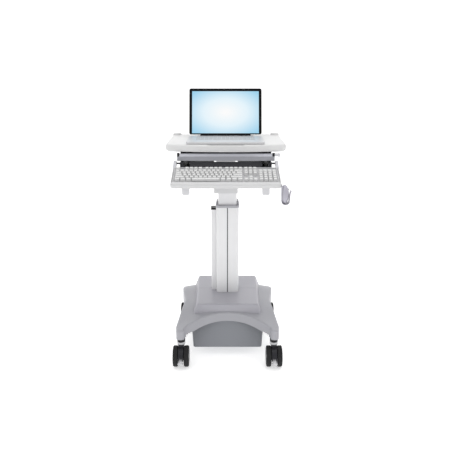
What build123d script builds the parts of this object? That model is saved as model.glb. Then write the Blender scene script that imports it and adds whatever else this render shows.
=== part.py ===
from build123d import *
import os

# Mobile cart, front towards -Y, +Z up, millimetres. Modelled about the column axis on the floor;
# save() moves every node so that the written origin is under the middle of the whole cart.

# ---------------------------------------------------------------- overall sizes
SURFACE_W = 553.0          # work surface width
SURFACE_D = 439.0          # work surface depth at its bowed centre
SURFACE_T = 34.0           # work surface thickness
SURFACE_TOP = 1043.0       # height of the work surface
SURFACE_FRONT = -232.0     # front edge at the centre of the bow
SCOOP = 4.0                # depth of the finger recess
SURFACE_BOW = 27.0         # how far the corners stand back from the bow
HEAD_DX = -8.0             # head centre line beside the column axis
BASE_HALF = 245.0          # half width over the legs
LEG_FRONT = -353.0         # tip of the front legs
LEG_REAR = 228.0           # tip of the rear legs
COLUMN_W = 114.0
COLUMN_D = 100.0
COLUMN_TOP = 707.0
TRAY_W = 471.0
KEYBOARD_W = 457.0
LAPTOP_W = 358.0
LAPTOP_D = 247.0

# ---------------------------------------------------------------- clearances
RUN = 0.05                 # radial running fit on pins and axles
SLIDE = 0.4                # gap around sliding runners
PANEL_GAP = 1.0            # gap between covers and what passes through them

# ---------------------------------------------------------------- casters
WHEEL_D = 100.0
TYRE_W = 23.0
CASTER_W = 75.0
TRAIL = 25.0
STEM_X = 222.0
STEM_FRONT = -318.0
STEM_REAR = 193.0
STEM_R = 6.0
AXLE_R = 5.0
HUB_R = WHEEL_D / 2 - 13.0
FORK_HALF = 13.0
HORN_R = 18.0
HORN_TOP = WHEEL_D + 16.0
HORN_BOTTOM = WHEEL_D + 2.0
STEM_END = WHEEL_D - 16.0
PEDAL_HALF = 8.0
TOE_HALF = 12.5            # half width of the plate at the tip of the pedal
PEDAL_PIN_R = 2.5
PEDAL_Y = -29.0            # pedal pivot beside the wheel centre
PEDAL_Z = WHEEL_D / 2

# ---------------------------------------------------------------- base
LEG_BOTTOM = HORN_TOP + 22.0
SKIN = 4.0                 # moulded cover wall
# crest of the deck: distance along Y, height over the leg ends
DECK_POINTS = ((-372, 66), (-345, 68), (-300, 71), (-228, 81), (-150, 95),
               (0, 100), (110, 97), (180, 80), (250, 50))
DECK_CROWN = 24.0          # how far the deck falls towards its sides
ARCH_H = 39.0              # rise of the front and rear arches
ARCH_STEP = 12.0           # straight rise beside each leg, below the arch
ARCH_HALF = 163.0
STEP_HALF = 198.0          # half distance between the straight rises
PLATEAU_TOP = LEG_BOTTOM + 120.0
PLATEAU_FRONT = -206.0
PLATEAU_REAR = 194.0
PLATEAU_HALF_FRONT = 150.0
PLATEAU_HALF_REAR = 157.0
PLATEAU_ROUND = 10.0
PLATEAU_SKIRT = 68.0       # height of the plateau walls before the deck cuts them
PLATEAU_FLARE = 26.0       # how far the walls spread over that height
RAIL_IN = 192.0            # inner face of the long frame bars
RAIL_W = 20.0
BAR_BOTTOM = LEG_BOTTOM + 2.0
BAR_TOP = LEG_BOTTOM + 25.0
CROSS_H = 20.0             # cross members on top of the long bars
FOOT_T = 8.0               # plate that carries the column
FOOT_TOP = BAR_TOP + CROSS_H + FOOT_T
BOX_BOTTOM = BAR_TOP - 120.0
BOX_HALF = RAIL_IN - 22.5
BOX_TAPER = 9.5            # how much wider the mouth is, each side
BOX_LEAN = 31.0            # how far the front wall leans back
BOX_FRONT = -246.0
BOX_REAR = 118.0
BOX_ROUND = 13.0
NOSE_REAR = -103.0
NOSE_TOP = BAR_TOP + 33.0
PACK_H = 84.0
BOLT_R = 3.0

# ---------------------------------------------------------------- column and lift
COLUMN_WALL = 5.0
COLUMN_ROUND = 14.0
STRIP_W = 5.0
STRIP_DEPTH = 2.5
RISER_W = COLUMN_W - 22.0
RISER_D = COLUMN_D - 20.0
RISER_WALL = 4.0
RISER_BOTTOM = FOOT_TOP + 99.0
RISER_TOP = COLUMN_TOP + 89.0
COLLAR_H = 13.0
EAR_H = 15.0
DUCT_W = 25.0
DUCT_FRONT = -14.0
DUCT_D = 44.0
DUCT_TOP = COLUMN_TOP - 9.0
CYL_R = 12.0
CYL_TOP = COLUMN_TOP - 107.0
CYL_FLOOR = 10.0
ROD_R = 5.0
ROD_BOTTOM = FOOT_TOP + 59.0

# ---------------------------------------------------------------- head
ARM_OUT = TRAY_W / 2 + 2.0
ARM_IN = ARM_OUT - 13.0
BRACKET_HALF = RISER_W / 2 + 13.0
BRACKET_BOTTOM = RISER_TOP - 13.0
BRACKET_TOP = RISER_TOP + 16.0
NECK_FRONT = RISER_D / 2 - 10.0
NECK_REAR = RISER_D / 2 + 52.0
NECK_HALF = 48.0
CHASSIS_HALF = ARM_IN - 16.5
CHASSIS_FRONT = SURFACE_FRONT + 37.0
CHASSIS_REAR = 190.0
SURFACE_BOTTOM = SURFACE_TOP - SURFACE_T
CHASSIS_BOTTOM = SURFACE_BOTTOM - 43.0
SHEET = 3.0

# ---------------------------------------------------------------- drawer
FRONT_HALF = CHASSIS_HALF + 14.0
FRONT_Y = SURFACE_FRONT + 13.0
FRONT_T = 14.0
FRONT_BOTTOM = CHASSIS_BOTTOM + SHEET
FRONT_TOP = SURFACE_BOTTOM - 8.0
FRONT_SLOPE_H = 12.0
DRAWER_HALF = CHASSIS_HALF - 18.0
DRAWER_REAR = 120.0
DRAWER_BOTTOM = FRONT_BOTTOM + 2.0
DRAWER_TOP = FRONT_TOP - 3.0
DRAWER_WALL = 2.0
RUNNER_Z = CHASSIS_BOTTOM + 19.0
RUNNER_H = 7.0
CHANNEL_H = 18.0
KNOB_R = 9.4
KNOB_STUB_R = 6.5
KNOB_PIN_R = 3.0
KNOB_Z = FRONT_TOP - 5.0
KNOB_Y = FRONT_Y + 10.0

# ---------------------------------------------------------------- tray carriage
ROD_Y = CHASSIS_FRONT - 27.0
ROD_Z = CHASSIS_BOTTOM - 7.5
TILT_R = 4.0
PAN_FLOOR = CHASSIS_BOTTOM - 28.0
PAN_TOP = CHASSIS_BOTTOM - 2.0
PAN_FRONT = ROD_Y + 10.0
PAN_REAR = PAN_FRONT + 207.0
PAN_EAR = ROD_Y - 12.0
TRAY_RAIL_OUT = CHASSIS_HALF - 18.0
TRAY_RAIL_IN = TRAY_RAIL_OUT - 20.0
TRAY_RAIL_FRONT = -80.0
TRAY_RAIL_REAR = 185.0
TRAY_RAIL_BOTTOM = CHASSIS_BOTTOM - 20.0
TRAY_RUNNER_Z = CHASSIS_BOTTOM - 11.0

# ---------------------------------------------------------------- tray, measured from the tilt rod, before its slope
TRAY_SLOPE = 15.0
TRAY_REAR = -52.0
TRAY_FRONT = -238.0
TRAY_FLOOR = -3.0
TRAY_T = 4.0
TRAY_RIM = 4.0
LIP_D = 22.0
LIP_TOP = 12.0
ARM_BOSS_R = 13.0
CASE_REAR = -60.0
CASE_FRONT = -213.0
CASE_T = 12.0
WELL_DEPTH = 3.0
KEY_TOP = 19.3
KEY_TRAVEL = 3.5
KEY_PITCH = 19.55
ROW_PITCH = 20.4
PADDLE_X = 171.0
PADDLE_HALF = 16.0
PADDLE_Y = -203.0
PADDLE_PIN_R = 2.5
PADDLE_DROP = 38.0

# ---------------------------------------------------------------- mouse and holder
HOLDER_X = TRAY_W / 2
HOLDER_T = 3.0
HOLDER_Y = ROD_Y - 203.0
HOLDER_HALF = 33.0
HOLDER_FLOOR = ROD_Z - 142.5
HOLDER_TOP = ROD_Z - 56.5
HOLDER_LIP = 40.0
MOUSE_T = 29.0
MOUSE_ROUND = 18.0         # half thickness of the egg that the mouse is cut from
MOUSE_HALF = 29.0
MOUSE_L = 82.0

# ---------------------------------------------------------------- laptop
LAPTOP_DX = -2.0
LAPTOP_REAR = 36.0
LAPTOP_FOOT = 1.0
LAPTOP_T = 9.5
LID_T = 5.5
LID_L = 229.0
LID_OPEN = 108.5
LID_GAP = 0.5
SCREEN_W = 330.0
SCREEN_H = 210.0
SCREEN_T = 1.2
HINGE_HALF = 124.0
HINGE_POST = 15.0
HINGE_PIN_R = 1.2


def block(x0, x1, y0, y1, z0, z1):
    """Box between six limits."""
    return Pos((x0 + x1) / 2, (y0 + y1) / 2, (z0 + z1) / 2) * Box(x1 - x0, y1 - y0, z1 - z0)


def slab(x0, x1, y0, y1, z0, z1, radius):
    """Box with rounded vertical corners."""
    face = RectangleRounded(x1 - x0, y1 - y0, radius)
    return extrude(Pos((x0 + x1) / 2, (y0 + y1) / 2, z0) * face, z1 - z0)


def disc_z(x, y, z0, z1, radius):
    """Upright cylinder."""
    return Pos(x, y, (z0 + z1) / 2) * Cylinder(radius, z1 - z0)


def disc_x(x0, x1, y, z, radius):
    """Cylinder lying along X."""
    return Pos((x0 + x1) / 2, y, z) * Rot(0, 90, 0) * Cylinder(radius, x1 - x0)


def pair(shape):
    """The shape and its mirror image across the centre plane."""
    return shape + mirror(shape, Plane.YZ)


def side_profile(points, x0, x1):
    """Closed outline given as (y, z), extruded between two X limits."""
    face = make_face(Polyline(*[(y, z) for y, z in points], close=True))
    return Pos(x0, 0, 0) * extrude(Plane.YZ * face, x1 - x0)


def near(shape, axis, value, tolerance=0.01):
    """Edges whose centre lies at a value along an axis."""
    return shape.edges().filter_by_position(axis, value - tolerance, value + tolerance)


def save(name, shape, dx=0.0):
    """Write one node about the middle of the cart, moved sideways when it belongs to the head."""
    middle_y = (HOLDER_Y - HOLDER_HALF + LEG_REAR) / 2
    moved = Pos(dx - HEAD_DX, -middle_y, 0) * shape
    moved.label = name
    export_step(moved, "parts/" + name + ".step")


# ================================================================ base
def deck_outline():
    """Plan of the base: arched front, waisted sides, four legs."""
    inner = BASE_HALF - 40
    right = Polyline((inner, LEG_FRONT + 26), (inner, LEG_FRONT), (BASE_HALF - 3, LEG_FRONT),
                     (BASE_HALF + 2, -300), (219, -60), (BASE_HALF - 1, 125),
                     (BASE_HALF - 1, LEG_REAR), (inner, LEG_REAR), (inner - 12, LEG_REAR - 24),
                     (-inner + 12, LEG_REAR - 24))
    left = Polyline((-inner + 12, LEG_REAR - 24), (-inner, LEG_REAR), (-BASE_HALF + 1, LEG_REAR),
                    (-BASE_HALF + 1, 125), (-219, -60), (-BASE_HALF - 2, -300),
                    (-BASE_HALF + 3, LEG_FRONT), (-inner, LEG_FRONT), (-inner, LEG_FRONT + 26))
    arch = ThreePointArc((-inner, LEG_FRONT + 26), (0, -224), (inner, LEG_FRONT + 26))
    face = make_face(right.edges() + left.edges() + arch.edges())
    for limit, radius in ((LEG_FRONT, 15), (LEG_FRONT + 26, 20), (-300, 60), (-60, 150), (125, 70)):
        corners = face.vertices().filter_by_position(Axis.Y, limit - 0.1, limit + 0.1)
        face = fillet(corners, radius)
    tips = face.vertices().filter_by_position(Axis.Y, LEG_REAR - 0.1, LEG_REAR + 0.1)
    face = fillet(tips.filter_by_position(Axis.X, -inner - 1, inner + 1), 10)
    tips = face.vertices().filter_by_position(Axis.Y, LEG_REAR - 0.1, LEG_REAR + 0.1)
    outer = [tip for tip in tips if abs(tip.X) > BASE_HALF - 5]
    return fillet(outer, 28)


def deck_solid(drop, inset):
    """Solid under the deck surface, lowered and drawn in for the inside of the shell."""
    face = deck_outline()
    if inset:
        face = offset(face, -inset)
    tower = extrude(face, LEG_BOTTOM + 170)
    sections = []
    for part in (-1.04, -0.52, 0.0, 0.52, 1.04):
        top = LEG_BOTTOM - drop - DECK_CROWN * part**2
        crest = Spline(*[(y, top + rise) for y, rise in DECK_POINTS])
        floor = Polyline(crest @ 1, (DECK_POINTS[-1][0], 50), (DECK_POINTS[0][0], 50), crest @ 0)
        profile = make_face(crest.edges() + floor.edges())
        sections.append(Plane.YZ.offset(part * BASE_HALF) * profile)
    return tower & loft(Sketch() + sections)


def base_cover():
    """Moulded deck with four hollow legs and arched front and rear edges."""
    outer = deck_solid(0, 0) - block(-300, 300, -400, 300, 0, LEG_BOTTOM)
    edge = outer.faces().sort_by(Axis.Z)[-1].outer_wire().edges()
    shell = fillet(edge, 7) - deck_solid(SKIN, SKIN)
    rise = ARCH_H - ARCH_STEP
    arch_r = (ARCH_HALF**2 + rise**2) / (2 * rise)
    arch = Pos(0, 0, LEG_BOTTOM + ARCH_H - arch_r) * Rot(90, 0, 0) * Cylinder(arch_r, 900)
    shell -= arch & block(-ARCH_HALF, ARCH_HALF, -400, 300, 0, LEG_BOTTOM + ARCH_H + 20)
    shell -= block(-STEP_HALF, STEP_HALF, -400, 300, 0, LEG_BOTTOM + ARCH_STEP)
    hole = column_hole(LEG_BOTTOM + 60, PLATEAU_TOP)
    return shell - hole


def column_hole(z0, z1):
    """Opening in the covers for the column."""
    gap = PANEL_GAP
    half_w = COLUMN_W / 2 + gap
    half_d = COLUMN_D / 2 + gap
    return slab(-half_w, half_w, -half_d, half_d, z0, z1, COLUMN_ROUND + gap)


def power_cover():
    """Raised plateau with spreading walls that stands on the deck, with a parting groove."""
    def plan(grow):
        front = PLATEAU_HALF_FRONT + grow
        rear = PLATEAU_HALF_REAR + grow
        y0 = PLATEAU_FRONT - 0.5 * grow
        y1 = PLATEAU_REAR + 0.2 * grow
        face = make_face(Polyline((-front, y0), (front, y0), (rear, y1), (-rear, y1), close=True))
        return fillet(face.vertices(), 14)
    low = PLATEAU_TOP - PLATEAU_SKIRT
    outer = loft(Sketch() + [Pos(0, 0, low) * plan(PLATEAU_FLARE), Pos(0, 0, PLATEAU_TOP) * plan(0)])
    outer = fillet(near(outer, Axis.Z, PLATEAU_TOP), PLATEAU_ROUND)
    ceiling = PLATEAU_TOP - SKIN
    inner = loft(Sketch() + [Pos(0, 0, low - 10) * plan(PLATEAU_FLARE), Pos(0, 0, ceiling) * plan(-SKIN)])
    inner = fillet(near(inner, Axis.Z, ceiling), PLATEAU_ROUND - SKIN)
    groove = block(-200, 200, 4, 6, PLATEAU_TOP - 1.2, PLATEAU_TOP + 1)
    return outer - inner - deck_solid(0, 0) - column_hole(FOOT_TOP - 10, PLATEAU_TOP + 10) - groove


def base_frame():
    """Welded frame: long bars, cross members, column plate and four caster sockets."""
    bar = block(RAIL_IN, RAIL_IN + RAIL_W, STEM_FRONT + 20, STEM_REAR, BAR_BOTTOM, BAR_TOP)
    toe = block(RAIL_IN + RAIL_W - 3, STEM_X + 8, STEM_FRONT, STEM_FRONT + 50, BAR_BOTTOM, BAR_TOP)
    frame = pair(bar + toe)
    reach = RAIL_IN + RAIL_W
    for y in (-95, 65):
        frame += block(-reach, reach, y, y + 30, BAR_TOP, BAR_TOP + CROSS_H)
    frame += block(-90, 90, -95, 95, BAR_TOP + CROSS_H, FOOT_TOP)
    for x in (-STEM_X, STEM_X):
        for y in (STEM_FRONT, STEM_REAR):
            frame += disc_z(x, y, LEG_BOTTOM + 1, BAR_TOP, 14)
    for x in (-STEM_X, STEM_X):
        for y in (STEM_FRONT, STEM_REAR):
            frame -= disc_z(x, y, LEG_BOTTOM, BAR_TOP - 4, STEM_R)
    for x, y in bolt_places():
        frame -= disc_z(x, y, BAR_TOP, FOOT_TOP + 1, BOLT_R + 0.2)
        frame -= disc_z(x, y, BAR_TOP - 1, FOOT_TOP - FOOT_T, 8)
    return frame


def bolt_places():
    """Bolt centres inside the corners of the column."""
    x = COLUMN_W / 2 - COLUMN_WALL - 7
    y = COLUMN_D / 2 - COLUMN_WALL - 7
    return ((-x, -y), (x, -y), (-x, y), (x, y))


def foot_bolts():
    """Four bolts that hold the column down on the frame."""
    bolts = Part()
    for x, y in bolt_places():
        bolts += disc_z(x, y, FOOT_TOP - FOOT_T - 5, FOOT_TOP - FOOT_T, 5.5)
        bolts += disc_z(x, y, FOOT_TOP - FOOT_T, FOOT_TOP + 18, BOLT_R)
    return bolts


def battery_box():
    """Tapered box slung under the frame, with a raised nose ahead of the cross members."""
    def body(inset, z0):
        rise = BAR_TOP - BOX_BOTTOM
        low = (z0 - BOX_BOTTOM) / rise
        sections = []
        for part, z in ((low, z0), (1.0, BAR_TOP)):
            half = BOX_HALF + BOX_TAPER * part - inset
            y0 = BOX_FRONT + BOX_LEAN * part + inset
            y1 = BOX_REAR - inset
            middle = Pos(0, (y0 + y1) / 2, z)
            sections.append(middle * RectangleRounded(2 * half, y1 - y0, BOX_ROUND - inset))
        return loft(Sketch() + sections)
    outer = body(0, BOX_BOTTOM)
    outer = fillet(near(outer, Axis.Z, BOX_BOTTOM), 5)
    half = BOX_HALF + BOX_TAPER
    front = BOX_FRONT + BOX_LEAN
    outer += slab(-half, half, front, NOSE_REAR, BAR_TOP, NOSE_TOP, BOX_ROUND)
    room = slab(-half + SKIN, half - SKIN, front + SKIN, NOSE_REAR - SKIN, BAR_TOP - 1, NOSE_TOP - SKIN, 9)
    return outer - body(SKIN, BOX_BOTTOM + SKIN) - room


def battery_pack():
    """Two sealed battery blocks on the floor of the box."""
    floor = BOX_BOTTOM + SKIN
    cell = slab(10, 140, -200, 60, floor, floor + PACK_H, 6)
    cell = fillet(near(cell, Axis.Z, floor + PACK_H), 3)
    return pair(cell)


# ================================================================ casters
def caster_stems():
    """Four plain stems held in the frame sockets."""
    stems = Part()
    for x in (-STEM_X, STEM_X):
        for y in (STEM_FRONT, STEM_REAR):
            stems += disc_z(x, y, STEM_END, BAR_TOP - 4, STEM_R)
    return stems


def caster_rings():
    """Four collar rings between the legs and the swivel heads."""
    rings = Part()
    for x in (-STEM_X, STEM_X):
        for y in (STEM_FRONT, STEM_REAR):
            ring = disc_z(x, y, HORN_TOP + 1, LEG_BOTTOM, HORN_R + 1)
            ring = fillet(near(ring, Axis.Z, HORN_TOP + 1), 2)
            rings += ring - disc_z(x, y, HORN_TOP, LEG_BOTTOM + 1, STEM_R)
    return rings


def caster_fork(x, y, brake):
    """Swivel head, hood and axle boss between the two wheels."""
    wheel_y = y - TRAIL
    axle_z = WHEEL_D / 2
    hood = disc_x(x - FORK_HALF, x + FORK_HALF, wheel_y, axle_z, WHEEL_D / 2 - 3)
    hood &= block(x - 40, x + 40, y - 120, y + 60, axle_z - 5, HORN_TOP)
    hood = fillet(hood.edges().filter_by(GeomType.CIRCLE), 3)
    neck = block(x - FORK_HALF, x + FORK_HALF, wheel_y - 4, y + 14, axle_z + 20, HORN_BOTTOM + 2)
    boss = disc_x(x - FORK_HALF - 1, x + FORK_HALF + 1, wheel_y, axle_z, 13)
    horn = disc_z(x, y, HORN_BOTTOM, HORN_TOP, HORN_R)
    horn = fillet(near(horn, Axis.Z, HORN_TOP), 2)
    fork = hood + neck + boss + horn
    fork -= disc_x(x - 40, x + 40, wheel_y, axle_z, AXLE_R + RUN)
    fork -= disc_z(x, y, STEM_END - 1, HORN_TOP + 1, STEM_R + RUN)
    if brake:
        slot = PEDAL_HALF + 0.5
        fork -= block(x - slot, x + slot, wheel_y - 60, wheel_y + PEDAL_Y + 9, PEDAL_Z - 30, PEDAL_Z + 10)
        fork -= disc_x(x - 12, x + 12, wheel_y + PEDAL_Y, PEDAL_Z, PEDAL_PIN_R + RUN)
    return fork


def brake_pedal(x, y):
    """Foot pedal on a cross pin in the front of the hood."""
    pivot = y - TRAIL + PEDAL_Y
    outline = ((0, 5), (4, 0), (0, -5), (-24, -17), (-30, -16), (-31, -10), (-24, -5))
    lever = side_profile([(pivot + y, PEDAL_Z + z) for y, z in outline], x - PEDAL_HALF, x + PEDAL_HALF)
    toe = block(x - TOE_HALF, x + TOE_HALF, pivot - 30, pivot - 16, PEDAL_Z - 17, PEDAL_Z - 10)
    lever += fillet(toe.edges().filter_by(Axis.X), 2)
    barrel = disc_x(x - PEDAL_HALF, x + PEDAL_HALF, pivot, PEDAL_Z, 5)
    pin = disc_x(x - 11.5, x + 11.5, pivot, PEDAL_Z, PEDAL_PIN_R)
    return lever + barrel + pin


def caster_tyres(x, y):
    """Two rounded tyres of one caster."""
    tyres = Part()
    for side in (-1, 1):
        middle = x + side * (CASTER_W - TYRE_W) / 2
        tyre = disc_x(middle - TYRE_W / 2, middle + TYRE_W / 2, y - TRAIL, WHEEL_D / 2, WHEEL_D / 2)
        tyre = fillet(tyre.edges().filter_by(GeomType.CIRCLE), 6)
        tyres += tyre - disc_x(middle - TYRE_W, middle + TYRE_W, y - TRAIL, WHEEL_D / 2, HUB_R)
    return tyres


def caster_wheelset(x, y):
    """Two dished hubs pressed on one axle."""
    wheel_y = y - TRAIL
    axle_z = WHEEL_D / 2
    edge = CASTER_W / 2
    hubs = disc_x(x - edge + 3, x + edge - 3, wheel_y, axle_z, AXLE_R)
    for side in (-1, 1):
        inner = x + side * (edge - TYRE_W + 0.5)
        outer = x + side * (edge - 1.5)
        hub = disc_x(min(inner, outer), max(inner, outer), wheel_y, axle_z, HUB_R)
        dish = x + side * (edge - 5)
        far = x + side * (edge + 5)
        hub -= disc_x(min(dish, far), max(dish, far), wheel_y, axle_z, HUB_R - 6)
        cap = x + side * (edge - 1)
        hub += disc_x(min(dish, cap), max(dish, cap), wheel_y, axle_z, 11)
        hubs += hub
    return hubs


# ================================================================ column and lift
def column_shell():
    """Outer column with a front groove and four screw bosses at its foot."""
    half_w = COLUMN_W / 2
    half_d = COLUMN_D / 2
    wall = COLUMN_WALL
    shell = slab(-half_w, half_w, -half_d, half_d, FOOT_TOP, COLUMN_TOP, COLUMN_ROUND)
    shell -= slab(-half_w + wall, half_w - wall, -half_d + wall, half_d - wall,
                  FOOT_TOP - 1, COLUMN_TOP + 1, COLUMN_ROUND - wall)
    shell -= block(-STRIP_W / 2, STRIP_W / 2, -half_d - 1, -half_d + STRIP_DEPTH,
                   FOOT_TOP - 1, COLUMN_TOP + 1)
    for x, y in bolt_places():
        shell += disc_z(x, y, FOOT_TOP, FOOT_TOP + 24, 7.5)
        shell -= disc_z(x, y, FOOT_TOP - 1, FOOT_TOP + 18, BOLT_R)
    return shell


def slot_strip():
    """Dark strip clipped in the column groove."""
    y = -COLUMN_D / 2
    return block(-STRIP_W / 2, STRIP_W / 2, y + 0.6, y + STRIP_DEPTH, FOOT_TOP, COLUMN_TOP)


def column_collar():
    """Collar on the column mouth with an ear on each side of the riser."""
    half_w = COLUMN_W / 2 + 1.5
    half_d = COLUMN_D / 2 + 1.5
    top = COLUMN_TOP + COLLAR_H
    body = slab(-half_w, half_w, -half_d, half_d, COLUMN_TOP, top, COLUMN_ROUND + 1.5)
    body = fillet(near(body, Axis.Z, top), 3)
    ear = block(RISER_W / 2 + 2, half_w - 3, -30, 34, top - 6, top + EAR_H)
    ear = fillet(ear.edges().filter_by(Axis.X), 5)
    gap = 0.3
    mouth = slab(-RISER_W / 2 - gap, RISER_W / 2 + gap, -RISER_D / 2 - gap, RISER_D / 2 + gap,
                 COLUMN_TOP - 1, top + 1, 8 + gap)
    return body + pair(ear) - mouth


def cable_duct():
    """Cable duct down the left side of the column."""
    right = -COLUMN_W / 2
    rear = DUCT_FRONT + DUCT_D
    duct = slab(right - DUCT_W, right, DUCT_FRONT, rear, PLATEAU_TOP, DUCT_TOP - 2, 4)
    bore = slab(right - DUCT_W + 2, right - 2, DUCT_FRONT + 2, rear - 2,
                PLATEAU_TOP - 1, DUCT_TOP + 1, 2)
    return duct - bore


def duct_cap():
    """Cap over the mouth of the cable duct."""
    right = -COLUMN_W / 2
    rear = DUCT_FRONT + DUCT_D
    lip = 1.2
    cap = slab(right - DUCT_W - lip, right, DUCT_FRONT - lip, rear + lip, DUCT_TOP - 9, DUCT_TOP + 1, 4.5)
    cap = fillet(near(cap, Axis.Z, DUCT_TOP + 1), 1.0)
    return cap - slab(right - DUCT_W, right, DUCT_FRONT, rear, DUCT_TOP - 10, DUCT_TOP - 2, 4)


def lift_cylinder():
    """Gas spring barrel standing on the column plate."""
    barrel = disc_z(0, 0, FOOT_TOP, CYL_TOP, CYL_R)
    barrel = fillet(near(barrel, Axis.Z, CYL_TOP), 2)
    return barrel - disc_z(0, 0, FOOT_TOP + CYL_FLOOR, CYL_TOP + 1, ROD_R + RUN)


def lift_rod():
    """Gas spring rod hanging from the head bracket."""
    return disc_z(0, 0, ROD_BOTTOM, RISER_TOP, ROD_R)


def riser():
    """Hollow inner column."""
    half_w = RISER_W / 2
    half_d = RISER_D / 2
    wall = RISER_WALL
    tube = slab(-half_w, half_w, -half_d, half_d, RISER_BOTTOM, RISER_TOP, 8)
    return tube - slab(-half_w + wall, half_w - wall, -half_d + wall, half_d - wall,
                       RISER_BOTTOM - 1, RISER_TOP + 1, 4)


def glide_pads():
    """Pads on the riser that fill the gap to the column, at two heights."""
    pads = Part()
    wide = COLUMN_W / 2 - COLUMN_WALL - SLIDE / 2
    deep = COLUMN_D / 2 - COLUMN_WALL - SLIDE / 2
    for z in (RISER_BOTTOM + 5, RISER_BOTTOM + 70):
        pads += pair(block(RISER_W / 2, wide, -22, 22, z, z + 40))
        front = block(-28, 28, -deep, -RISER_D / 2, z, z + 40)
        pads += front + mirror(front, Plane.XZ)
    return pads


# ================================================================ head
def head_bracket():
    """Block clamped on the riser with a hollow neck up to the chassis."""
    block_part = slab(-BRACKET_HALF, BRACKET_HALF, -60, NECK_REAR, BRACKET_BOTTOM, BRACKET_TOP, 10)
    block_part = fillet(near(block_part, Axis.Z, BRACKET_TOP), 4)
    neck = slab(-NECK_HALF, NECK_HALF, NECK_FRONT, NECK_REAR, BRACKET_TOP - 10, CHASSIS_BOTTOM, 10)
    neck -= slab(-NECK_HALF + 5, NECK_HALF - 5, NECK_FRONT + 5, NECK_REAR - 5,
                 BRACKET_TOP, CHASSIS_BOTTOM + 1, 5)
    x = -HEAD_DX
    pocket = slab(x - RISER_W / 2, x + RISER_W / 2, -RISER_D / 2, RISER_D / 2,
                  BRACKET_BOTTOM - 1, RISER_TOP, 8)
    return block_part + neck - pocket


def head_chassis():
    """Folded sheet pan under the work surface: floor, side walls, rear wall."""
    half = CHASSIS_HALF
    z0 = CHASSIS_BOTTOM
    pan = block(-half, half, CHASSIS_FRONT, CHASSIS_REAR, z0, z0 + SHEET)
    pan += pair(block(half - SHEET, half, CHASSIS_FRONT, CHASSIS_REAR, z0, SURFACE_BOTTOM))
    pan += block(-half, half, CHASSIS_REAR - SHEET, CHASSIS_REAR, z0, SURFACE_BOTTOM)
    window = slab(-40, 40, 45, 80, z0 - 1, z0 + SHEET + 1, 8)
    return pan - window


def work_surface():
    """Top with a bowed bullnose front, a finger recess and raised rear corners."""
    half = SURFACE_W / 2
    side = SURFACE_FRONT + SURFACE_BOW
    rear = SURFACE_FRONT + SURFACE_D
    bow = ThreePointArc((-half, side), (0, SURFACE_FRONT), (half, side))
    back = Polyline((half, side), (half, rear), (-half, rear), (-half, side))
    face = fillet(make_face(bow.edges() + back.edges()).vertices(), 28)
    top = extrude(Pos(0, 0, SURFACE_BOTTOM) * face, SURFACE_T)
    bump = slab(half - 46, half - 2, rear - 52, rear - 2, SURFACE_TOP - 4, SURFACE_TOP + 9, 20)
    bump = fillet(near(bump, Axis.Z, SURFACE_TOP + 9), 8)
    top = fillet(near(top, Axis.Z, SURFACE_TOP), 9)
    top = fillet(near(top, Axis.Z, SURFACE_BOTTOM), 14)
    scoop = slab(-86, 86, SURFACE_FRONT - 30, SURFACE_FRONT + 26, SURFACE_TOP - SCOOP, SURFACE_TOP + 20, 16)
    scoop = fillet(near(scoop, Axis.Z, SURFACE_TOP - SCOOP), SCOOP - 0.5)
    return top - scoop + pair(bump)


def drawer_channels():
    """Two C channels on the chassis walls that carry the drawer."""
    wall = CHASSIS_HALF - SHEET
    channel = block(wall - 9, wall, CHASSIS_FRONT + 4, 150, RUNNER_Z - CHANNEL_H / 2, RUNNER_Z + CHANNEL_H / 2)
    half = RUNNER_H / 2 + SLIDE
    groove = block(wall - 10, wall - 3, CHASSIS_FRONT, 160, RUNNER_Z - half, RUNNER_Z + half)
    return pair(channel - groove)


def tray_channels():
    """Two C channels under the chassis that carry the tray carriage."""
    channel = block(TRAY_RAIL_IN, TRAY_RAIL_OUT, TRAY_RAIL_FRONT, TRAY_RAIL_REAR,
                    TRAY_RAIL_BOTTOM, CHASSIS_BOTTOM)
    half = RUNNER_H / 2 + SLIDE
    groove = block(TRAY_RAIL_IN - 1, TRAY_RAIL_IN + 10, TRAY_RAIL_FRONT - 1, TRAY_RAIL_REAR + 1,
                   TRAY_RUNNER_Z - half, TRAY_RUNNER_Z + half)
    return pair(channel - groove)


# ================================================================ drawer
def drawer_box():
    """Shallow drawer with a runner rib on each side."""
    front = FRONT_Y + FRONT_T
    wall = DRAWER_WALL
    box = block(-DRAWER_HALF, DRAWER_HALF, front, DRAWER_REAR, DRAWER_BOTTOM, DRAWER_TOP)
    box -= slab(-DRAWER_HALF + wall, DRAWER_HALF - wall, front + wall, DRAWER_REAR - wall,
                DRAWER_BOTTOM + wall, DRAWER_TOP + 1, 6)
    reach = CHASSIS_HALF - SHEET - 3 - SLIDE
    rib = block(DRAWER_HALF, reach, CHASSIS_FRONT + 6, DRAWER_REAR - 4,
                RUNNER_Z - RUNNER_H / 2, RUNNER_Z + RUNNER_H / 2)
    return box + pair(rib)


def drawer_front():
    """Slim front panel with a sloped upper band, notched for its end caps."""
    y1 = FRONT_Y + FRONT_T
    slope = FRONT_TOP - FRONT_SLOPE_H
    panel = side_profile(((FRONT_Y, FRONT_BOTTOM + 3), (FRONT_Y + 3, FRONT_BOTTOM), (y1, FRONT_BOTTOM),
                          (y1, FRONT_TOP), (FRONT_Y + 7, FRONT_TOP), (FRONT_Y, slope)),
                         -FRONT_HALF, FRONT_HALF)
    notch = block(FRONT_HALF - 10, FRONT_HALF, FRONT_Y - 1, y1, slope, FRONT_TOP + 1)
    bore = disc_x(FRONT_HALF - 40, FRONT_HALF, KNOB_Y, KNOB_Z, KNOB_PIN_R + RUN)
    return panel - pair(notch) - bore


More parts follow.
